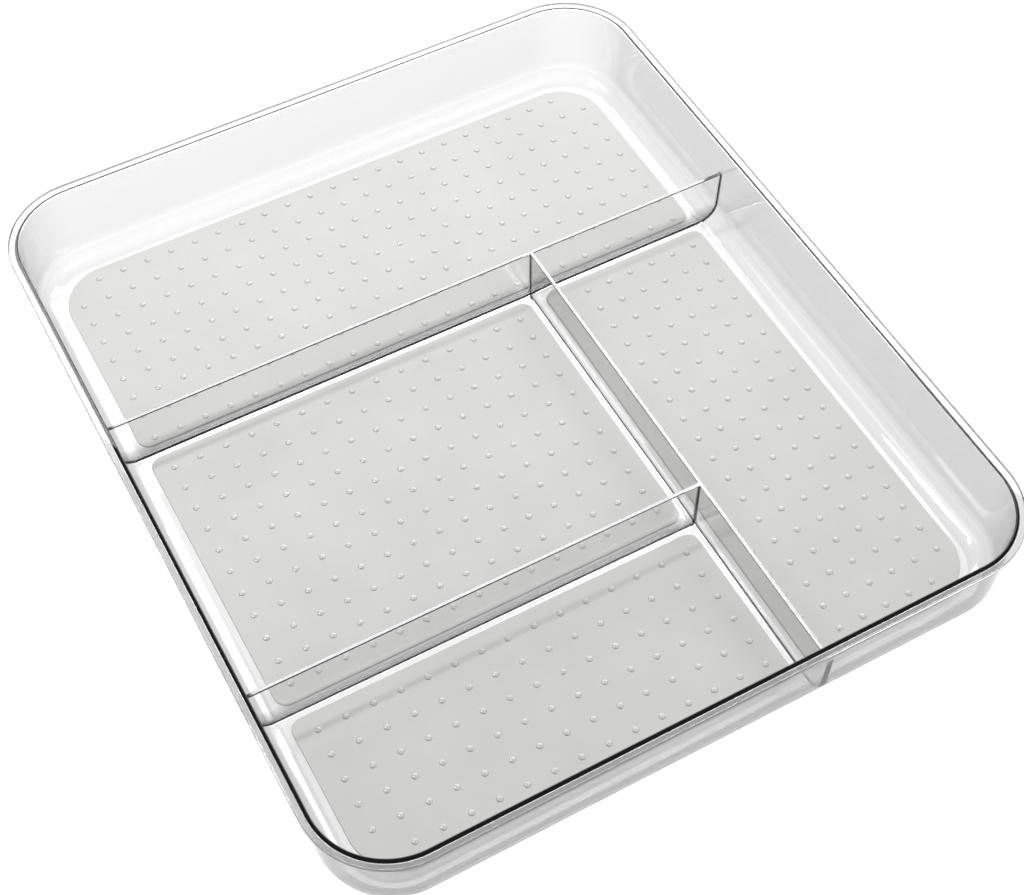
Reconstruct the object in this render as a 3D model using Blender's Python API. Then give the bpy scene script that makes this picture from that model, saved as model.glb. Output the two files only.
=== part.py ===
"""Clear drawer organiser tray with four soft mats and four rubber feet.

The tray is one injection-moulded shell: a rim with a small outward lip, drafted walls, a wide cove
down to the floor, and three dividers moulded in one piece with it. A thin soft mat is bonded to the
floor of each compartment, and a round rubber foot sits in a shallow recess under each corner.

Frame: origin on the surface that the tray stands on, under the middle of the tray.
+X is the tray's right, +Y its back, +Z up. Everything is in metres.
"""
import math

import bmesh
import bpy

# Tray, outside
TRAY_WIDTH = 0.330
TRAY_DEPTH = 0.387
RIM_Z = 0.048
RIM_CORNER_RADIUS = 0.038
LIP_OVERHANG = 0.0030
LIP_HEIGHT = 0.0022
RIM_EDGE_RADIUS = 0.0005

# Tray, walls and floor
WALL_THICKNESS = 0.0016
FLOOR_THICKNESS = 0.0020
BASE_Z = 0.0010
FLOOR_Z = BASE_Z + FLOOR_THICKNESS
COVE_RADIUS = 0.0100
DRAFT = math.radians(2.5)
CORNER_SEGMENTS = 9
COVE_SEGMENTS = 6

# Dividers
DIVIDER_TOP_Z = 0.0327
DIVIDER_TOP_THICKNESS = 0.0018
DIVIDER_BASE_THICKNESS = 0.0028
DIVIDER_EDGE = 0.0003
DIVIDER_FILLET = 0.0015
BACK_DIVIDER_Y = 0.0602
LONG_DIVIDER_X = 0.0542
SHORT_DIVIDER_Y = -0.0904

# Mats
MAT_THICKNESS = 0.0010
MAT_EDGE_X = 0.1465
MAT_EDGE_Y = 0.1758
MAT_TO_DIVIDER = 0.0042
MAT_OUTER_RADIUS = 0.0230
MAT_INNER_RADIUS = 0.0055

# Feet
FOOT_RADIUS = 0.0060
FOOT_X = 0.1250
FOOT_Y = 0.1530
FOOT_EDGE = 0.0004
RECESS_DEPTH = 0.0006
FOOT_SEGMENTS = 24

# Clearance between pieces that touch
GAP = 0.0003


def material(name, colour, roughness, transmission=0.0):
    """A Principled material in the plastic's or rubber's plain colour."""
    made = bpy.data.materials.new(name)
    made.use_nodes = True
    shader = made.node_tree.nodes["Principled BSDF"]
    shader.inputs["Base Color"].default_value = (*colour, 1.0)
    shader.inputs["Roughness"].default_value = roughness
    shader.inputs["Metallic"].default_value = 0.0
    shader.inputs["Transmission Weight"].default_value = transmission
    return made


def new_object(name, bm, finish=None):
    """Put a bmesh in the scene as an object with its faces pointing out."""
    bmesh.ops.recalc_face_normals(bm, faces=bm.faces[:])
    mesh = bpy.data.meshes.new(name)
    bm.to_mesh(mesh)
    bm.free()
    made = bpy.data.objects.new(name, mesh)
    bpy.context.collection.objects.link(made)
    if finish is not None:
        mesh.materials.append(finish)
        mesh.shade_smooth()
        mesh.set_sharp_from_angle(angle=math.radians(30))
    return made


def corner(centre_x, centre_y, radius, start, segments):
    """Points of one rounded corner, a quarter turn anticlockwise from the start angle."""
    points = []
    for step in range(segments + 1):
        angle = start + 0.5 * math.pi * step / segments
        points.append((centre_x + radius * math.cos(angle), centre_y + radius * math.sin(angle)))
    return points


def rounded_outline(left, right, front, back, radii, segments):
    """Closed outline of a rectangle; radii run back right, back left, front left, front right."""
    signs = ((1, 1), (-1, 1), (-1, -1), (1, -1))
    points = []
    for turn, ((side_x, side_y), radius, count) in enumerate(zip(signs, radii, segments)):
        centre_x = right - radius if side_x > 0 else left + radius
        centre_y = back - radius if side_y > 0 else front + radius
        points += corner(centre_x, centre_y, radius, 0.5 * math.pi * turn, count)
    return points


def loft(rings):
    """Closed bmesh through rings of equal point counts, with a flat cap on each end ring."""
    bm = bmesh.new()
    loops = []
    for ring in rings:
        loops.append([bm.verts.new(point) for point in ring])
    for lower, upper in zip(loops, loops[1:]):
        count = len(lower)
        for index in range(count):
            after = (index + 1) % count
            bm.faces.new((lower[index], lower[after], upper[after], upper[index]))
    bm.faces.new(loops[0])
    bm.faces.new(loops[-1])
    return bm


def tray_ring(inset, z):
    """The tray's plan outline, moved in from the lip's outer face, at one height."""
    radius = RIM_CORNER_RADIUS - inset
    half_x = 0.5 * TRAY_WIDTH - inset
    half_y = 0.5 * TRAY_DEPTH - inset
    outline = rounded_outline(-half_x, half_x, -half_y, half_y, [radius] * 4, [CORNER_SEGMENTS] * 4)
    return [(x, y, z) for x, y in outline]


def wall_profile(wall_inset, floor_z, cove_radius):
    """(inset, height) points of one wall surface, from the flat floor up the cove to the rim.

    wall_inset is the surface's place at rim height; the draft moves it in towards the floor.
    """
    tangent_z = floor_z + cove_radius * (1.0 - math.sin(DRAFT))
    tangent_inset = wall_inset + (RIM_Z - tangent_z) * math.tan(DRAFT)
    centre_inset = tangent_inset + cove_radius * math.cos(DRAFT)
    points = []
    for step in range(COVE_SEGMENTS + 1):
        angle = math.radians(90) + (DRAFT - math.radians(90)) * step / COVE_SEGMENTS
        inset = centre_inset - cove_radius * math.cos(angle)
        points.append((inset, floor_z + cove_radius * (1.0 - math.sin(angle))))
    return points


def make_shell():
    """The tray without its dividers: base, outer wall, lip, rim and inner wall in one surface."""
    outer_radius = COVE_RADIUS + FLOOR_THICKNESS
    outer = wall_profile(LIP_OVERHANG, BASE_Z, outer_radius)
    inner_inset = LIP_OVERHANG + WALL_THICKNESS
    inner = wall_profile(inner_inset, FLOOR_Z, COVE_RADIUS)
    lip_z = RIM_Z - LIP_HEIGHT
    under_lip = (LIP_OVERHANG + LIP_HEIGHT * math.tan(DRAFT), lip_z)
    rim = [
        under_lip,
        (0.0, lip_z),
        (0.0, RIM_Z - RIM_EDGE_RADIUS),
        (RIM_EDGE_RADIUS, RIM_Z),
        (inner_inset - RIM_EDGE_RADIUS, RIM_Z),
        (inner_inset, RIM_Z - RIM_EDGE_RADIUS),
    ]
    profile = outer + rim + inner[::-1]
    return new_object("shell", loft([tray_ring(inset, z) for inset, z in profile]))


def make_core():
    """A solid whose surface runs inside the wall and floor, which trims the dividers' ends."""
    middle_radius = COVE_RADIUS + 0.5 * FLOOR_THICKNESS
    profile = wall_profile(LIP_OVERHANG + 0.5 * WALL_THICKNESS, BASE_Z + 0.5 * FLOOR_THICKNESS, middle_radius)
    profile.append((LIP_OVERHANG + 0.5 * WALL_THICKNESS, RIM_Z))
    return new_object("core", loft([tray_ring(inset, z) for inset, z in profile]))


def divider_section():
    """Half section of a divider, (half width, height) from below the floor to its top."""
    half_base = 0.5 * DIVIDER_BASE_THICKNESS
    half_top = 0.5 * DIVIDER_TOP_THICKNESS
    buried_z = BASE_Z + 0.25 * FLOOR_THICKNESS
    points = [(half_base + DIVIDER_FILLET, buried_z)]
    for angle in (60, 30, 0):
        turn = math.radians(angle)
        half = half_base + DIVIDER_FILLET * (1.0 - math.cos(turn))
        points.append((half, FLOOR_Z + DIVIDER_FILLET * (1.0 - math.sin(turn))))
    points.append((half_top, DIVIDER_TOP_Z - DIVIDER_EDGE))
    points.append((half_top - DIVIDER_EDGE, DIVIDER_TOP_Z))
    return points


def make_divider(name, start, end, middle, along_x):
    """An upright divider from start to end, centred on middle across its length."""
    half = divider_section()
    section = half + [(-width, z) for width, z in reversed(half)]
    rings = []
    for place in (start, end):
        if along_x:
            rings.append([(place, middle + across, z) for across, z in section])
        else:
            rings.append([(middle + across, place, z) for across, z in section])
    return new_object(name, loft(rings))


def boolean(target, tool, operation):
    """Apply one exact Boolean to the target and remove the tool from the scene."""
    modifier = target.modifiers.new(operation.lower(), "BOOLEAN")
    modifier.operation = operation
    modifier.solver = "EXACT"
    modifier.object = tool
    bpy.context.view_layer.update()
    evaluated = target.evaluated_get(bpy.context.evaluated_depsgraph_get())
    result = bpy.data.meshes.new_from_object(evaluated)
    target.modifiers.clear()
    target.data = result
    bpy.data.objects.remove(tool, do_unlink=True)


def foot_places():
    """Name and position of each foot."""
    places = []
    for row, y in (("front", -FOOT_Y), ("back", FOOT_Y)):
        for side, x in (("left", -FOOT_X), ("right", FOOT_X)):
            places.append((f"foot_{row}_{side}", x, y))
    return places


def disc(x, y, profile):
    """Closed turned body round a vertical axis, from (radius, height) points."""
    rings = []
    for radius, z in profile:
        ring = []
        for step in range(FOOT_SEGMENTS):
            angle = 2.0 * math.pi * step / FOOT_SEGMENTS
            ring.append((x + radius * math.cos(angle), y + radius * math.sin(angle), z))
        rings.append(ring)
    return loft(rings)


def make_tray():
    """Shell and dividers as one moulding, with the recesses for the feet underneath."""
    half_x = 0.5 * TRAY_WIDTH
    half_y = 0.5 * TRAY_DEPTH
    dividers = make_divider("dividers", -half_x, half_x, BACK_DIVIDER_Y, True)
    long_divider = make_divider("long_divider", -half_y, BACK_DIVIDER_Y, LONG_DIVIDER_X, False)
    short_divider = make_divider("short_divider", -half_x, LONG_DIVIDER_X, SHORT_DIVIDER_Y, True)
    boolean(dividers, long_divider, "UNION")
    boolean(dividers, short_divider, "UNION")
    boolean(dividers, make_core(), "INTERSECT")

    tray = make_shell()
    boolean(tray, dividers, "UNION")
    recess_radius = FOOT_RADIUS + GAP
    for name, x, y in foot_places():
        profile = [(recess_radius, BASE_Z - RECESS_DEPTH), (recess_radius, BASE_Z + RECESS_DEPTH)]
        boolean(tray, new_object(f"{name}_recess", disc(x, y, profile)), "DIFFERENCE")

    tray.name = "tray"
    tray.data.materials.clear()
    tray.data.materials.append(material("clear polystyrene", (0.93, 0.95, 0.95), 0.04, 1.0))
    tray.data.shade_smooth()
    tray.data.set_sharp_from_angle(angle=math.radians(30))


def make_mats():
    """Four thin mats, round where they follow the tray's corners and tighter beside the dividers."""
    finish = material("frosted soft-touch elastomer", (0.62, 0.63, 0.62), 0.55, 0.3)
    wide = MAT_OUTER_RADIUS
    tight = MAT_INNER_RADIUS
    left = -MAT_EDGE_X
    right = MAT_EDGE_X
    front = -MAT_EDGE_Y
    behind_back_divider = BACK_DIVIDER_Y + MAT_TO_DIVIDER
    before_back_divider = BACK_DIVIDER_Y - MAT_TO_DIVIDER
    left_of_long = LONG_DIVIDER_X - MAT_TO_DIVIDER
    right_of_long = LONG_DIVIDER_X + MAT_TO_DIVIDER
    behind_short = SHORT_DIVIDER_Y + MAT_TO_DIVIDER
    before_short = SHORT_DIVIDER_Y - MAT_TO_DIVIDER
    mats = (
        ("mat_back", left, right, behind_back_divider, MAT_EDGE_Y, (wide, wide, tight, tight)),
        ("mat_middle_left", left, left_of_long, behind_short, before_back_divider, (tight,) * 4),
        ("mat_front_left", left, left_of_long, front, before_short, (tight, tight, wide, tight)),
        ("mat_right", right_of_long, right, front, before_back_divider, (tight, tight, tight, wide)),
    )
    bottom_z = FLOOR_Z + GAP
    top_z = bottom_z + MAT_THICKNESS
    for name, x_min, x_max, y_min, y_max, radii in mats:
        segments = [8 if radius == wide else 4 for radius in radii]
        outline = rounded_outline(x_min, x_max, y_min, y_max, radii, segments)
        rings = [[(x, y, z) for x, y in outline] for z in (bottom_z, top_z)]
        new_object(name, loft(rings), finish)


def make_feet():
    """Four round rubber feet, standing proud of the base by its height above the surface."""
    finish = material("translucent rubber", (0.75, 0.76, 0.75), 0.5, 0.4)
    top_z = BASE_Z + RECESS_DEPTH - GAP
    for name, x, y in foot_places():
        profile = [(FOOT_RADIUS - FOOT_EDGE, 0.0), (FOOT_RADIUS, FOOT_EDGE), (FOOT_RADIUS, top_z)]
        new_object(name, disc(x, y, profile), finish)


for old in list(bpy.data.objects):
    bpy.data.objects.remove(old, do_unlink=True)
make_tray()
make_mats()
make_feet()
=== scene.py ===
"""A clear drawer organiser tray with grip mats and rubber feet, in a plain pale studio."""
import math

import bmesh
import bpy
from mathutils import Matrix, Vector


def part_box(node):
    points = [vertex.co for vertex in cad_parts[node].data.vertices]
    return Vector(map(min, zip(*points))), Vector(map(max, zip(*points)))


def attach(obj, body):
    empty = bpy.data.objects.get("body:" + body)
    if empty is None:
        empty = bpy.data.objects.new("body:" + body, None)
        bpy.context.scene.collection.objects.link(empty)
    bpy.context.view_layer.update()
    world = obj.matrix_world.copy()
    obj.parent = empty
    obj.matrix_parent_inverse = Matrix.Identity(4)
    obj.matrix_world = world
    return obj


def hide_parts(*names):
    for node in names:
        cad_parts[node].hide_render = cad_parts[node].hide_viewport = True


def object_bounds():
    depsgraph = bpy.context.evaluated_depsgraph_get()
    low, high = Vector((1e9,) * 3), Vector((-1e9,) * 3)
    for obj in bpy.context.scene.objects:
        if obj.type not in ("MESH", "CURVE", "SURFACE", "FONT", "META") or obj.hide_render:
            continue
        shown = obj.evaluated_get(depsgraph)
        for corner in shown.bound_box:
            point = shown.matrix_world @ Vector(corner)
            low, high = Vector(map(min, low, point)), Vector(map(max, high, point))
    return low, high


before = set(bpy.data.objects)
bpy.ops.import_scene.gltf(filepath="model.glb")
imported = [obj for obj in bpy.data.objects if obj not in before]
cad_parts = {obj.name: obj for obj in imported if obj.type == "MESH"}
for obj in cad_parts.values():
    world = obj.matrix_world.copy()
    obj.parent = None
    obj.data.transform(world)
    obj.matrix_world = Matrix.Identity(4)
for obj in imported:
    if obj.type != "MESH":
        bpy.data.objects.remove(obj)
cad_low, cad_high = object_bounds()


# ---------------------------------------------------------------------------------------------
# The tray. One injection moulding in clear polystyrene: rim and lip, drafted walls, a wide cove
# down to the floor, and three dividers of one height that run into the walls. The steel mould was
# polished, so both faces are glossy, and every edge has the small radius of the cutter that made it.

tray_low, tray_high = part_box("tray")
RIM_Z = tray_high.z
BASE_Z = tray_low.z
RIM_CORNER_RADIUS = 0.038
LIP_OVERHANG = 0.0030
LIP_HEIGHT = 0.0022
LIP_EDGE_RADIUS = 0.0005
WALL_THICKNESS = 0.0016
FLOOR_THICKNESS = 0.0020
FLOOR_Z = BASE_Z + FLOOR_THICKNESS
COVE_RADIUS = 0.0100
OUTER_COVE_RADIUS = COVE_RADIUS + FLOOR_THICKNESS
DRAFT = math.radians(2.5)

DIVIDER_TOP_Z = 0.0327
DIVIDER_TOP_THICKNESS = 0.0018
DIVIDER_BASE_THICKNESS = 0.0028
DIVIDER_EDGE_RADIUS = 0.0004
DIVIDER_FILLET = 0.0015
JUNCTION_RADIUS = 0.0008

# The dividers stand halfway between the mats on either side of them.
mat_back_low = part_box("mat_back")[0]
mat_middle_low, mat_middle_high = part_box("mat_middle_left")
mat_front_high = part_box("mat_front_left")[1]
mat_right_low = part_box("mat_right")[0]
BACK_DIVIDER_Y = 0.5 * (mat_back_low.y + mat_middle_high.y)
LONG_DIVIDER_X = 0.5 * (mat_middle_high.x + mat_right_low.x)
SHORT_DIVIDER_Y = 0.5 * (mat_front_high.y + mat_middle_low.y)


def wall_inset(z, rim_inset, floor_z, cove_radius):
    """How far a wall's surface stands in from the lip's outer face at height z, cove included."""
    tangent_z = floor_z + cove_radius * (1.0 - math.sin(DRAFT))
    if z >= tangent_z:
        return rim_inset + (RIM_Z - z) * math.tan(DRAFT)
    tangent_inset = rim_inset + (RIM_Z - tangent_z) * math.tan(DRAFT)
    down = 1.0 - (z - floor_z) / cove_radius
    return tangent_inset + cove_radius * (math.cos(DRAFT) - math.sqrt(max(0.0, 1.0 - down * down)))


def inner_inset(z):
    return wall_inset(z, LIP_OVERHANG + WALL_THICKNESS, FLOOR_Z, COVE_RADIUS)


def outer_inset(z):
    return wall_inset(z, LIP_OVERHANG, BASE_Z, OUTER_COVE_RADIUS)


def foot_fillet(z):
    """How far the fillet at a divider's foot stands out from its drafted face at height z."""
    down = 1.0 - (z - FLOOR_Z) / DIVIDER_FILLET
    return DIVIDER_FILLET * (1.0 - math.sqrt(max(0.0, 1.0 - down * down))) if down > 0.0 else 0.0


def divider_half(z):
    """Half of a divider's thickness at height z, with its foot fillet and rounded top edge."""
    share = (z - FLOOR_Z) / (DIVIDER_TOP_Z - FLOOR_Z)
    half = 0.5 * (DIVIDER_BASE_THICKNESS + (DIVIDER_TOP_THICKNESS - DIVIDER_BASE_THICKNESS) * share)
    up = (z - DIVIDER_TOP_Z + DIVIDER_EDGE_RADIUS) / DIVIDER_EDGE_RADIUS
    if up > 0.0:
        half -= DIVIDER_EDGE_RADIUS * (1.0 - math.sqrt(max(0.0, 1.0 - up * up)))
    return half + foot_fillet(z)


def arc(centre, radius, start, segments):
    """Points of a quarter circle, anticlockwise from the start angle."""
    angles = [start + 0.5 * math.pi * step / segments for step in range(segments + 1)]
    return [(centre[0] + radius * math.cos(a), centre[1] + radius * math.sin(a)) for a in angles]


# How finely curves are cut: the corners of the rim, those beside a divider, and the sides between.
CORNER_SEGMENTS = 28
JUNCTION_SEGMENTS = 5
SIDE_SEGMENTS = 12
# The signs of x and y at the four corners, anticlockwise from the back right.
CORNER_SIGNS = ((1, 1), (-1, 1), (-1, -1), (1, -1))


def compartment_ring(left, right, front, back, z):
    """A compartment's plan outline at height z, anticlockwise from its back right corner.

    A side is None where the tray's wall bounds it, or else the middle of the divider there.
    Gives (x, y, on_wall) for each point.
    """
    inset = inner_inset(z)
    half = divider_half(z)
    x = {-1: tray_low.x + inset if left is None else left + half,
         1: tray_high.x - inset if right is None else right - half}
    y = {-1: tray_low.y + inset if front is None else front + half,
         1: tray_high.y - inset if back is None else back - half}
    walls_x = {-1: left is None, 1: right is None}
    walls_y = {-1: front is None, 1: back is None}
    corners = []
    for turn, (sx, sy) in enumerate(CORNER_SIGNS):
        both = walls_x[sx] and walls_y[sy]
        radius = RIM_CORNER_RADIUS - inset if both else JUNCTION_RADIUS + foot_fillet(z)
        centre = (x[sx] - sx * radius, y[sy] - sy * radius)
        segments = CORNER_SEGMENTS if both else JUNCTION_SEGMENTS
        points = arc(centre, radius, 0.5 * math.pi * turn, segments)
        before, after = (walls_x[sx], walls_y[sy]) if sx == sy else (walls_y[sy], walls_x[sx])
        flags = [both] * len(points)
        flags[0] = before
        flags[-1] = after
        corners.append((points, flags, after))
    ring = []
    for turn, (points, flags, on_wall) in enumerate(corners):
        ring += [(px, py, flag) for (px, py), flag in zip(points, flags)]
        (x0, y0), (x1, y1) = points[-1], corners[(turn + 1) % 4][0][0]
        for step in range(1, SIDE_SEGMENTS):
            share = step / SIDE_SEGMENTS
            ring.append((x0 + (x1 - x0) * share, y0 + (y1 - y0) * share, on_wall))
    return ring


def at_inset(x, y, inset):
    """The point of the tray's outline, moved in by an inset, that faces the point x, y."""
    reach_x = tray_high.x - RIM_CORNER_RADIUS
    reach_y = tray_high.y - RIM_CORNER_RADIUS
    inner = Vector((min(max(x, -reach_x), reach_x), min(max(y, -reach_y), reach_y)))
    outward = (Vector((x, y)) - inner).normalized()
    return inner + outward * (RIM_CORNER_RADIUS - inset)


def strip(bm, lower, upper):
    """Join two closed loops of vertices with a band of quads."""
    for index in range(len(lower)):
        after = (index + 1) % len(lower)
        bm.faces.new((lower[index], lower[after], upper[after], upper[index]))


def circle(bm, x, y, z, radius, segments):
    angles = [2.0 * math.pi * step / segments for step in range(segments)]
    return [bm.verts.new((x + radius * math.cos(a), y + radius * math.sin(a), z)) for a in angles]


def finish_mesh(name, bm, *materials):
    """Make an object of a closed bmesh, shaded smooth, with its flat faces kept looking flat."""
    bmesh.ops.recalc_face_normals(bm, faces=bm.faces[:])
    mesh = bpy.data.meshes.new(name)
    bm.to_mesh(mesh)
    bm.free()
    mesh.shade_smooth()
    for material in materials:
        mesh.materials.append(material)
    piece = bpy.data.objects.new(name, mesh)
    bpy.context.scene.collection.objects.link(piece)
    weighted = piece.modifiers.new("flat faces keep their normals", "WEIGHTED_NORMAL")
    weighted.mode = "FACE_AREA"
    weighted.weight = 100
    weighted.keep_sharp = True
    return piece


foot_boxes = [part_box(f"foot_{row}_{side}") for row in ("front", "back") for side in ("left", "right")]
FOOT_RECESS_DEPTH = 0.0006
FOOT_RECESS_GAP = 0.0003
FOOT_SEGMENTS = 40


def quarter_turn(step, steps):
    """The angle after a number of equal steps round a quarter circle."""
    return math.radians(90 * step / steps)


# Heights of the rings up a compartment: close together where the cove and the fillets curve. The
# fillet's first two steps are left out, because they lie within 0.03 mm of the floor.
COVE_STEPS = 18
FILLET_STEPS = 8
DIVIDER_EDGE_STEPS = 5
DIVIDER_FACE_RINGS = [0.020, 0.027]
cove_heights = [COVE_RADIUS * (1.0 - math.cos(quarter_turn(i, COVE_STEPS))) for i in range(COVE_STEPS + 1)]
fillet_heights = [
    DIVIDER_FILLET * (1.0 - math.cos(quarter_turn(i, FILLET_STEPS))) for i in range(2, FILLET_STEPS + 1)]
edge_drops = [
    DIVIDER_EDGE_RADIUS * math.cos(quarter_turn(i, DIVIDER_EDGE_STEPS))
    for i in range(DIVIDER_EDGE_STEPS + 1)]
levels = sorted(FLOOR_Z + height for height in cove_heights + fillet_heights)
levels += DIVIDER_FACE_RINGS
levels += [DIVIDER_TOP_Z - drop for drop in edge_drops]

# What bounds each compartment at its left, right, front and back: a divider's middle, or the wall.
compartments = (
    (None, None, BACK_DIVIDER_Y, None),
    (None, LONG_DIVIDER_X, SHORT_DIVIDER_Y, BACK_DIVIDER_Y),
    (None, LONG_DIVIDER_X, None, SHORT_DIVIDER_Y),
    (LONG_DIVIDER_X, None, None, BACK_DIVIDER_Y),
)
bm = bmesh.new()
wall_loop = []
divider_tops = []
for sides in compartments:
    below = None
    for z in levels:
        ring = compartment_ring(*sides, z)
        verts = [bm.verts.new((x, y, z)) for x, y, on_wall in ring]
        if below is None:
            bm.faces.new(verts)
        else:
            strip(bm, below, verts)
        below = verts
    flags = [on_wall for x, y, on_wall in ring]
    first = next(i for i in range(len(ring)) if flags[i] and not flags[i - 1])
    turned = below[first:] + below[:first]
    count = sum(flags)
    wall_loop += turned[:count]
    divider_tops += [turned[0]] + turned[:count - 1:-1] + [turned[count - 1]]
# The tops of the three dividers are one flat face, with sharp borders so that it stays flat.
for border in bm.faces.new(divider_tops).edges:
    border.smooth = False

# Up the inner wall, over the rim and its lip, and down the outer wall to the base.
rim_inset = LIP_OVERHANG + WALL_THICKNESS
lip_z = RIM_Z - LIP_HEIGHT
edge = LIP_EDGE_RADIUS
INNER_WALL_RINGS = (0.038, 0.043)
OUTER_WALL_RINGS = (0.040, 0.034, 0.027, 0.020)
RIM_EDGE_STEPS = 6
UNDER_LIP_STEPS = 4
profile = [(inner_inset(z), z) for z in (*INNER_WALL_RINGS, RIM_Z - edge)]
for centre_inset, centre_z, start, end in (
        (rim_inset - edge, RIM_Z - edge, 0, 90),
        (edge, RIM_Z - edge, 90, 180),
        (edge, lip_z + edge, 180, 270)):
    for step in range(RIM_EDGE_STEPS + 1):
        angle = math.radians(start + (end - start) * step / RIM_EDGE_STEPS)
        profile.append((centre_inset + edge * math.cos(angle), centre_z + edge * math.sin(angle)))
outer_at_lip = outer_inset(lip_z)
for step in range(UNDER_LIP_STEPS + 1):
    angle = quarter_turn(step, UNDER_LIP_STEPS)
    profile.append((outer_at_lip - edge + edge * math.sin(angle), lip_z - edge + edge * math.cos(angle)))
profile += [(outer_inset(z), z) for z in OUTER_WALL_RINGS]
for step in range(COVE_STEPS, -1, -1):
    z = BASE_Z + OUTER_COVE_RADIUS * (1.0 - math.cos(quarter_turn(step, COVE_STEPS)))
    profile.append((outer_inset(z), z))
around = [(v.co.x, v.co.y) for v in wall_loop]
below = wall_loop
for inset, z in profile:
    verts = [bm.verts.new((*at_inset(x, y, inset), z)) for x, y in around]
    strip(bm, below, verts)
    below = verts

# The flat base, with a shallow round recess for each foot.
base_edges = [bm.edges.get((below[i - 1], below[i])) for i in range(len(below))]
for low, high in foot_boxes:
    middle = 0.5 * (low + high)
    radius = 0.5 * (high.x - low.x) + FOOT_RECESS_GAP
    mouth = circle(bm, middle.x, middle.y, BASE_Z, radius, FOOT_SEGMENTS)
    roof = circle(bm, middle.x, middle.y, BASE_Z + FOOT_RECESS_DEPTH, radius, FOOT_SEGMENTS)
    strip(bm, mouth, roof)
    bm.faces.new(roof)
    base_edges += [bm.edges.get((mouth[i - 1], mouth[i])) for i in range(len(mouth))]
bmesh.ops.triangle_fill(bm, use_beauty=True, edges=base_edges, normal=(0, 0, -1))


def linear(hex_colour):
    """An sRGB colour such as C8C8C6 as linear red, green, blue and an alpha of one."""
    channels = [int(hex_colour[i:i + 2], 16) / 255 for i in (0, 2, 4)]
    return tuple(c / 12.92 if c <= 0.04045 else ((c + 0.055) / 1.055) ** 2.4 for c in channels) + (1.0,)


def add_node(tree, kind, settings=(), inputs=()):
    """Add a node, set its properties, and set or link its inputs."""
    made = tree.nodes.new(kind)
    for name, value in dict(settings).items():
        setattr(made, name, value)
    for name, value in dict(inputs).items():
        if isinstance(value, bpy.types.NodeSocket):
            tree.links.new(value, made.inputs[name])
        else:
            made.inputs[name].default_value = value
    return made


# Clear polystyrene, moulded against polished steel: water-clear and glossy, with a refractive index
# of 1.59. Melt flow leaves a faint waviness about 20 mm long. The more slanted a sheet is to the eye,
# the more plastic the eye looks through and the greyer it is, so each variant has a colour for a
# straight look and one for a slanted look. These greys are partly the plastic's own tint and partly
# painted shade that sets how dark each part looks: the walls and cove have a much darker slanted grey,
# painted shade for the shade seen through them, and the cross dividers are a little greyer than the
# long divider. The first colour in each row is what shadows let through. The variants are for the
# floor and base, the dividers' bright top edges, which trap the light that enters them, the walls and
# cove, two arcs of the rim and the dividers' faces. The arcs of the rim are painted black, a painted
# shade that stands in for the light that bends away there.
MOULDED, TOP_EDGE, WALL_PAINTED_SHADE, RIM_ARC_PAINTED_SHADE, LONG_DIVIDER, CROSS_DIVIDER_PAINTED_FOOT_SHADE = range(6)
polystyrene = []
for name, roughness, passes, straight_on, slanted in (
        ("polystyrene, clear, moulded", 0.02, "FDFDFD", "F7F7F7", "E4E4E4"),
        ("polystyrene, clear, top edge", 0.25, "606060", "FFFFFF", "D8D8D8"),
        ("polystyrene, clear, drawn wall, painted shade", 0.02, "FDFDFD", "E8E8E8", "7C7C7C"),
        ("polystyrene, clear, arcs of the rim, painted shade", 0.35, "FDFDFD", "080808", "040404"),
        ("polystyrene, clear, long divider", 0.02, "F8F8F8", "FFFFFF", "FFFFFF"),
        ("polystyrene, clear, cross divider, painted foot shade", 0.02, "F8F8F8", "FFFFFF", "F4F4F4")):
    clear = bpy.data.materials.new(name)
    clear.use_nodes = True
    tree = clear.node_tree
    shader = tree.nodes["Principled BSDF"]
    if slanted == straight_on:
        shader.inputs["Base Color"].default_value = linear(straight_on)
    else:
        slant = add_node(tree, "ShaderNodeLayerWeight", inputs={"Blend": 0.5})
        body = add_node(tree, "ShaderNodeMix", {"data_type": "RGBA"}, {
            0: slant.outputs["Facing"], 6: linear(straight_on), 7: linear(slanted)})
        tree.links.new(body.outputs[2], shader.inputs["Base Color"])
    shader.inputs["IOR"].default_value = 1.59
    shader.inputs["Roughness"].default_value = roughness
    shader.inputs["Transmission Weight"].default_value = 1.0
    place = add_node(tree, "ShaderNodeTexCoord")
    waves = add_node(tree, "ShaderNodeTexNoise", inputs={
        "Vector": place.outputs["Object"], "Scale": 1 / 0.020, "Detail": 1.0, "Roughness": 0.4})
    ripple = add_node(tree, "ShaderNodeBump", inputs={
        "Height": waves.outputs["Fac"], "Strength": 0.05, "Distance": 0.0004})
    tree.links.new(ripple.outputs["Normal"], shader.inputs["Normal"])
    straight = add_node(tree, "ShaderNodeBsdfTransparent", inputs={"Color": linear(passes)})
    path = add_node(tree, "ShaderNodeLightPath")
    lit = add_node(tree, "ShaderNodeMath", {"operation": "MAXIMUM"}, {
        0: path.outputs["Is Shadow Ray"], 1: path.outputs["Is Diffuse Ray"]})
    mixed = add_node(tree, "ShaderNodeMixShader", inputs={
        0: lit.outputs[0], 1: shader.outputs[0], 2: straight.outputs[0]})
    tree.links.new(mixed.outputs[0], tree.nodes["Material Output"].inputs["Surface"])
    polystyrene.append(clear)
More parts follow.
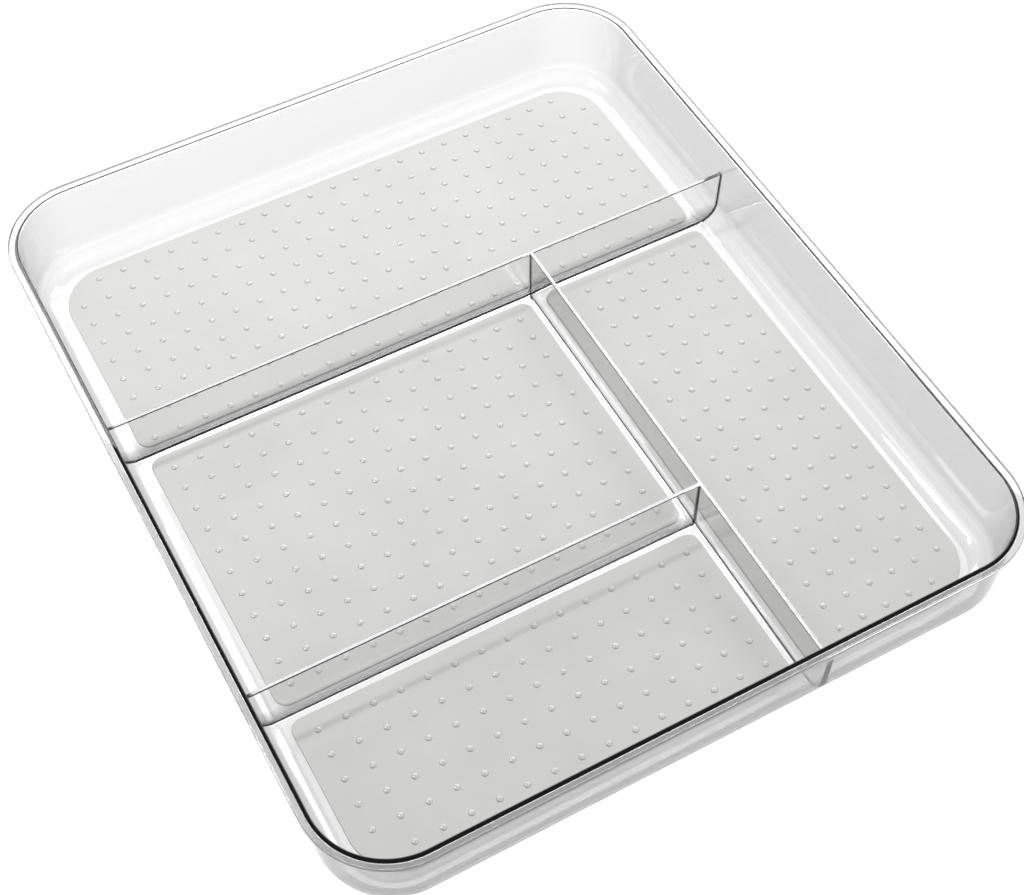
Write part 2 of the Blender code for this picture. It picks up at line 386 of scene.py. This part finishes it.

# The two cross dividers are painted darker towards their foot, where the sheet thickens into its
# fillets. This is painted shade, which stands in for the light that bends away there.
PAINTED_SHADE_HEIGHT = 0.012
PAINTED_FOOT_SHADE = 0.22
tree = polystyrene[CROSS_DIVIDER_PAINTED_FOOT_SHADE].node_tree
shader = tree.nodes["Principled BSDF"]
place = add_node(tree, "ShaderNodeTexCoord")
height = add_node(tree, "ShaderNodeSeparateXYZ", inputs={0: place.outputs["Object"]})
foot = add_node(tree, "ShaderNodeMapRange", inputs={
    "Value": height.outputs["Z"], "From Min": FLOOR_Z, "From Max": FLOOR_Z + PAINTED_SHADE_HEIGHT,
    "To Min": PAINTED_FOOT_SHADE, "To Max": 1.0})
painted_foot_shade = add_node(tree, "ShaderNodeMix", {"data_type": "RGBA", "blend_type": "MULTIPLY"}, {
    0: 1.0, 6: shader.inputs["Base Color"].links[0].from_socket, 7: foot.outputs[0]})
tree.links.new(painted_foot_shade.outputs[2], shader.inputs["Base Color"])


def inset_of(point):
    """How far a point lies inside the tray's outline."""
    reach_x = tray_high.x - RIM_CORNER_RADIUS
    reach_y = tray_high.y - RIM_CORNER_RADIUS
    past = Vector((max(abs(point.x) - reach_x, 0.0), max(abs(point.y) - reach_y, 0.0)))
    return RIM_CORNER_RADIUS - past.length


# Which faces have which variant: by height, by how far in they are, and by the way they face.
WALL_AND_COVE = 0.016
LEANING_UP = 0.3
FACING_ALONG = 0.9
for face in bm.faces:
    face.normal_update()
    middle = face.calc_center_median()
    inset = inset_of(middle)
    from_cross_divider = min(abs(middle.y - BACK_DIVIDER_Y), abs(middle.y - SHORT_DIVIDER_Y))
    from_long_divider = abs(middle.x - LONG_DIVIDER_X)
    if abs(middle.z - DIVIDER_TOP_Z) < DIVIDER_EDGE_RADIUS and abs(face.normal.z) > LEANING_UP:
        face.material_index = TOP_EDGE
    # The two arcs of the rim, painted black as painted shade.
    elif middle.z > RIM_Z - LIP_EDGE_RADIUS and inset > rim_inset - LIP_EDGE_RADIUS:
        face.material_index = RIM_ARC_PAINTED_SHADE
    elif lip_z < middle.z < lip_z + LIP_EDGE_RADIUS and inset < LIP_EDGE_RADIUS:
        face.material_index = RIM_ARC_PAINTED_SHADE
    # The cross dividers' faces, whose material holds the painted shade at their foot.
    elif abs(face.normal.y) > FACING_ALONG and from_cross_divider < DIVIDER_BASE_THICKNESS:
        face.material_index = CROSS_DIVIDER_PAINTED_FOOT_SHADE
    elif abs(face.normal.x) > FACING_ALONG and from_long_divider < DIVIDER_BASE_THICKNESS:
        face.material_index = LONG_DIVIDER
    # The walls and cove, whose darker grey is painted shade.
    elif inset < WALL_AND_COVE:
        face.material_index = WALL_PAINTED_SHADE
    else:
        face.material_index = MOULDED
tray = finish_mesh("clear_tray", bm, *polystyrene)
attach(tray, "root")
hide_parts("tray")


# ---------------------------------------------------------------------------------------------
# The mats. Soft thermoplastic elastomer, moulded frosted and slightly translucent, with a square
# grid of small polished domes that keep things from sliding. Each is bonded to a floor by itself.

MAT_OUTER_RADIUS = 0.0230
MAT_INNER_RADIUS = 0.0055
MAT_EDGE_RADIUS = 0.0004
DOME_RADIUS = 0.0015
DOME_HEIGHT = 0.00045
DOME_PITCH = 0.0126
DOME_TO_EDGE = 0.0050

# The frosted face: a fine spark-eroded grain, about 0.3 mm, drawn at 0.5 mm so that it shows, and a
# cloudiness some 40 mm wide from the way the thin sheet filled its mould.
frosted = bpy.data.materials.new("thermoplastic elastomer, frosted, moulded")
frosted.use_nodes = True
tree = frosted.node_tree
shader = tree.nodes["Principled BSDF"]
place = add_node(tree, "ShaderNodeTexCoord")
cloud = add_node(tree, "ShaderNodeTexNoise", inputs={
    "Vector": place.outputs["Object"], "Scale": 1 / 0.040, "Detail": 3.0, "Roughness": 0.5})
tint = add_node(tree, "ShaderNodeMix", {"data_type": "RGBA"}, {
    0: cloud.outputs["Fac"], 6: linear("B7B7B6"), 7: linear("C3C3C1")})
tree.links.new(tint.outputs[2], shader.inputs["Base Color"])
grain = add_node(tree, "ShaderNodeTexNoise", inputs={
    "Vector": place.outputs["Object"], "Scale": 1 / 0.0005, "Detail": 2.0, "Roughness": 0.6})
rough = add_node(tree, "ShaderNodeMapRange", inputs={
    "Value": grain.outputs["Fac"], "To Min": 0.42, "To Max": 0.62})
tree.links.new(rough.outputs[0], shader.inputs["Roughness"])
bumps = add_node(tree, "ShaderNodeBump", inputs={
    "Height": grain.outputs["Fac"], "Strength": 0.25, "Distance": 0.00005})
tree.links.new(bumps.outputs["Normal"], shader.inputs["Normal"])
shader.inputs["IOR"].default_value = 1.49
shader.inputs["Subsurface Weight"].default_value = 0.15
shader.inputs["Subsurface Radius"].default_value = (1.0, 1.0, 1.0)
shader.inputs["Subsurface Scale"].default_value = 0.001
# The thin sheet lets most of the light through to what it lies on.
SHARE_THROUGH = 0.9
passed = add_node(tree, "ShaderNodeBsdfTransparent")
path = add_node(tree, "ShaderNodeLightPath")
lit = add_node(tree, "ShaderNodeMath", {"operation": "MAXIMUM"}, {
    0: path.outputs["Is Shadow Ray"], 1: path.outputs["Is Diffuse Ray"]})
share = add_node(tree, "ShaderNodeMath", {"operation": "MULTIPLY"}, {
    0: lit.outputs[0], 1: SHARE_THROUGH})
mixed = add_node(tree, "ShaderNodeMixShader", inputs={
    0: share.outputs[0], 1: shader.outputs[0], 2: passed.outputs[0]})
tree.links.new(mixed.outputs[0], tree.nodes["Material Output"].inputs["Surface"])

# The domes, polished in the mould, so each holds one small highlight. They share the cloudiness.
polished = bpy.data.materials.new("thermoplastic elastomer, polished domes")
polished.use_nodes = True
tree = polished.node_tree
shader = tree.nodes["Principled BSDF"]
place = add_node(tree, "ShaderNodeTexCoord")
cloud = add_node(tree, "ShaderNodeTexNoise", inputs={
    "Vector": place.outputs["Object"], "Scale": 1 / 0.040, "Detail": 3.0, "Roughness": 0.5})
tint = add_node(tree, "ShaderNodeMix", {"data_type": "RGBA"}, {
    0: cloud.outputs["Fac"], 6: linear("BABAB9"), 7: linear("C6C6C4")})
tree.links.new(tint.outputs[2], shader.inputs["Base Color"])
shader.inputs["Roughness"].default_value = 0.16
shader.inputs["IOR"].default_value = 1.49

# The x and y of each mat's first dome, at its back left, the numbers of columns and rows, and the
# spacing of the columns, which differs a little from mat to mat.
domes = {
    "mat_back": (-0.1386, 0.1688, 23, 9, 0.0126),
    "mat_middle_left": (-0.1372, 0.0474, 15, 11, 0.01275),
    "mat_front_left": (-0.1363, -0.1032, 15, 6, 0.0127),
    "mat_right": (0.0666, 0.0474, 7, 18, 0.01196),
}
# Each mat's corner radii, anticlockwise from the back right: wide where the tray's own corner is.
wide = MAT_OUTER_RADIUS
tight = MAT_INNER_RADIUS
WIDE_SEGMENTS = 20
TIGHT_SEGMENTS = 10
mat_radii = {
    "mat_back": (wide, wide, tight, tight),
    "mat_middle_left": (tight, tight, tight, tight),
    "mat_front_left": (tight, tight, wide, tight),
    "mat_right": (tight, tight, tight, wide),
}


def mat_outline(low, high, radii, inset):
    """A mat's outline moved in by an inset, anticlockwise from the back right corner."""
    points = []
    for turn, (sx, sy) in enumerate(CORNER_SIGNS):
        x = high.x if sx > 0 else low.x
        y = high.y if sy > 0 else low.y
        centre = (x - sx * radii[turn], y - sy * radii[turn])
        segments = WIDE_SEGMENTS if radii[turn] == wide else TIGHT_SEGMENTS
        points += arc(centre, radii[turn] - inset, 0.5 * math.pi * turn, segments)
    return points


def in_wide_corner(x, y, low, high, radii):
    """True if a dome here would stand too near the arc of one of a mat's wide corners."""
    for radius, (sx, sy) in zip(radii, CORNER_SIGNS):
        across = radius - ((high.x - x) if sx > 0 else (x - low.x))
        along = radius - ((high.y - y) if sy > 0 else (y - low.y))
        if radius == wide and min(across, along) > 0 and math.hypot(across, along) > radius - DOME_TO_EDGE:
            return True
    return False


DOME_SEGMENTS = 20
DOME_STEPS = 6
MAT_EDGE_STEPS = 4
SAME_HEIGHT = 1e-6
for name, (first_x, first_y, columns, rows, spacing) in domes.items():
    low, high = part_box(name)
    radii = mat_radii[name]
    bm = bmesh.new()
    below = None
    edge = MAT_EDGE_RADIUS
    side = [(0.0, low.z), (0.0, high.z - edge)]
    for step in range(1, MAT_EDGE_STEPS + 1):
        angle = quarter_turn(step, MAT_EDGE_STEPS)
        side.append((edge * (1.0 - math.cos(angle)), high.z - edge * (1.0 - math.sin(angle))))
    for inset, z in side:
        verts = [bm.verts.new((x, y, z)) for x, y in mat_outline(low, high, radii, inset)]
        if below is None:
            bm.faces.new(verts)
        else:
            strip(bm, below, verts)
        below = verts
    loops = [below]
    for column in range(columns):
        for row in range(rows):
            x = first_x + column * spacing
            y = first_y - row * DOME_PITCH
            if in_wide_corner(x, y, low, high, radii):
                continue
            ring = circle(bm, x, y, high.z, DOME_RADIUS, DOME_SEGMENTS)
            loops.append(ring)
            for step in range(1, DOME_STEPS):
                angle = quarter_turn(step, DOME_STEPS)
                radius = DOME_RADIUS * math.cos(angle)
                upper = circle(bm, x, y, high.z + DOME_HEIGHT * math.sin(angle), radius, DOME_SEGMENTS)
                strip(bm, ring, upper)
                ring = upper
            top = bm.verts.new((x, y, high.z + DOME_HEIGHT))
            for index in range(DOME_SEGMENTS):
                bm.faces.new((ring[index - 1], ring[index], top))
    for face in bm.faces:
        if min(v.co.z for v in face.verts) > high.z - SAME_HEIGHT:
            face.material_index = 1
    # The mat's flat top, and the flat foot of each dome, which stands on it as a closed shell.
    for loop in loops:
        bm.faces.new(loop)
    mat = finish_mesh(f"grip_{name}", bm, frosted, polished)
    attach(mat, "root")
    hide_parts(name)


# ---------------------------------------------------------------------------------------------
# The feet. Four round pads of silicone rubber, soft and translucent, that keep the tray from sliding.
# Each is moulded by itself and pressed into a round recess under the base.

FOOT_EDGE_RADIUS = 0.0004
FOOT_EDGE_STEPS = 5

# The rubber: a milky satin. Its moulded grain of some 0.1 mm is drawn at 0.6 mm so that it shows.
rubber = bpy.data.materials.new("silicone rubber, translucent, moulded")
rubber.use_nodes = True
tree = rubber.node_tree
shader = tree.nodes["Principled BSDF"]
place = add_node(tree, "ShaderNodeTexCoord")
speckle = add_node(tree, "ShaderNodeTexNoise", inputs={
    "Vector": place.outputs["Object"], "Scale": 1 / 0.0006, "Detail": 2.0, "Roughness": 0.5})
tint = add_node(tree, "ShaderNodeMix", {"data_type": "RGBA"}, {
    0: speckle.outputs["Fac"], 6: linear("CFD1CF"), 7: linear("DADBD8")})
tree.links.new(tint.outputs[2], shader.inputs["Base Color"])
rough = add_node(tree, "ShaderNodeMapRange", inputs={
    "Value": speckle.outputs["Fac"], "To Min": 0.38, "To Max": 0.58})
tree.links.new(rough.outputs[0], shader.inputs["Roughness"])
bumps = add_node(tree, "ShaderNodeBump", inputs={
    "Height": speckle.outputs["Fac"], "Strength": 0.3, "Distance": 0.00005})
tree.links.new(bumps.outputs["Normal"], shader.inputs["Normal"])
shader.inputs["IOR"].default_value = 1.43
shader.inputs["Subsurface Weight"].default_value = 0.3
shader.inputs["Subsurface Radius"].default_value = (1.0, 1.0, 1.0)
shader.inputs["Subsurface Scale"].default_value = 0.002

for row in ("front", "back"):
    for side in ("left", "right"):
        low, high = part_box(f"foot_{row}_{side}")
        middle = 0.5 * (low + high)
        radius = 0.5 * (high.x - low.x)
        edge = FOOT_EDGE_RADIUS
        bm = bmesh.new()
        below = circle(bm, middle.x, middle.y, low.z, radius - edge, FOOT_SEGMENTS)
        bm.faces.new(below)
        for step in range(1, FOOT_EDGE_STEPS + 1):
            angle = quarter_turn(step, FOOT_EDGE_STEPS)
            grown = radius - edge * (1.0 - math.sin(angle))
            z = low.z + edge * (1.0 - math.cos(angle))
            verts = circle(bm, middle.x, middle.y, z, grown, FOOT_SEGMENTS)
            strip(bm, below, verts)
            below = verts
        verts = circle(bm, middle.x, middle.y, high.z, radius, FOOT_SEGMENTS)
        strip(bm, below, verts)
        bm.faces.new(verts)
        foot = finish_mesh(f"rubber_foot_{row}_{side}", bm, rubber)
        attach(foot, "root")
        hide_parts(f"foot_{row}_{side}")


# ---------------------------------------------------------------------------------------------
# The studio. A small white matt table, a broad soft light overhead that darkens towards the horizon,
# as in a black-walled studio, a strip of key light to the back left, and three softboxes.

FLOOR_REACH = 0.6
TABLE_GAP = 0.0001
floor_material = bpy.data.materials.new("matt white table")
floor_material.use_nodes = True
shader = floor_material.node_tree.nodes["Principled BSDF"]
shader.inputs["Base Color"].default_value = linear("FAFAFA")
shader.inputs["Roughness"].default_value = 0.9
shader.inputs["Specular IOR Level"].default_value = 0.0
bm = bmesh.new()
bm.faces.new([bm.verts.new((x, y, 0.0)) for x, y in (
    (-FLOOR_REACH, -FLOOR_REACH), (FLOOR_REACH, -FLOOR_REACH),
    (FLOOR_REACH, FLOOR_REACH), (-FLOOR_REACH, FLOOR_REACH))])
table = finish_mesh("table", bm, floor_material)
table.location.z = cad_low.z - TABLE_GAP

# The overhead light leans to the back right, and past the table's edge the camera sees plain white.
LIGHT_LEANS = (0.30, 0.50, 1.0)
HORIZON = (0.02, 0.02, 0.02, 1.0)
OVERHEAD = (1.0, 1.0, 1.0, 1.0)
BACKDROP = (6.0, 6.0, 6.0, 1.0)
world = bpy.data.worlds.new("studio")
bpy.context.scene.world = world
world.use_nodes = True
tree = world.node_tree
background = tree.nodes["Background"]
place = add_node(tree, "ShaderNodeTexCoord")
leaning = add_node(tree, "ShaderNodeVectorMath", {"operation": "DOT_PRODUCT"}, {
    0: place.outputs["Generated"], 1: LIGHT_LEANS})
sky = add_node(tree, "ShaderNodeValToRGB", inputs={0: leaning.outputs["Value"]})
sky.color_ramp.elements[0].position = 0.10
sky.color_ramp.elements[0].color = HORIZON
sky.color_ramp.elements[1].position = 0.55
sky.color_ramp.elements[1].color = OVERHEAD
seen = add_node(tree, "ShaderNodeLightPath")
plain = add_node(tree, "ShaderNodeMix", {"data_type": "RGBA"}, {
    0: seen.outputs["Is Camera Ray"], 6: sky.outputs[0], 7: BACKDROP})
tree.links.new(plain.outputs[2], background.inputs["Color"])
background.inputs["Strength"].default_value = 0.20

# The strip of key light faces straight down, with its long side along the cross dividers, whose
# shadows it keeps narrow. The softboxes face the tray. For each: its place in metres, its width and
# height in metres, and how bright its cloth is.
lamps = {
    "key light": ((-0.424, 0.315, 0.93), (0.40, 0.10), 44.0),
    "left softbox": ((-1.90, 0.60, 1.60), (1.8, 0.6), 1.0),
    "back right softbox": ((0.55, 0.85, 0.90), (1.3, 0.8), 4.9),
    "front softbox": ((0.55, -0.60, 1.05), (0.5, 0.4), 9.0),
}
for name, (spot, (width, height), brightness) in lamps.items():
    light = bpy.data.lights.new(name, "AREA")
    light.shape = "RECTANGLE"
    light.size = width
    light.size_y = height
    light.energy = brightness * math.pi * width * height
    lamp = bpy.data.objects.new(name, light)
    lamp.location = spot
    if name != "key light":
        lamp.rotation_euler = (-lamp.location).to_track_quat("-Z", "Y").to_euler()
    bpy.context.scene.collection.objects.link(lamp)

# The camera looks down on the tray from the front left.
CAMERA_AZIMUTH = math.radians(-28.15)
CAMERA_ELEVATION = math.radians(54.57)
CAMERA_ROLL = math.radians(-0.61)
CAMERA_POSITION = Vector((-0.2310, -0.4517, 0.6976))
CAMERA_LENS = 65.74
CAMERA_SENSOR_WIDTH = 36.0
camera_data = bpy.data.cameras.new("camera")
camera_data.sensor_width = CAMERA_SENSOR_WIDTH
camera_data.lens = CAMERA_LENS
camera = bpy.data.objects.new("camera", camera_data)
back = Vector((
    math.sin(CAMERA_AZIMUTH) * math.cos(CAMERA_ELEVATION),
    -math.cos(CAMERA_AZIMUTH) * math.cos(CAMERA_ELEVATION),
    math.sin(CAMERA_ELEVATION)))
turn = back.to_track_quat("Z", "Y").to_matrix() @ Matrix.Rotation(CAMERA_ROLL, 3, "Z")
camera.matrix_world = Matrix.Translation(CAMERA_POSITION) @ turn.to_4x4()
bpy.context.scene.collection.objects.link(camera)
bpy.context.scene.camera = camera
bpy.context.scene.view_settings.view_transform = "Standard"
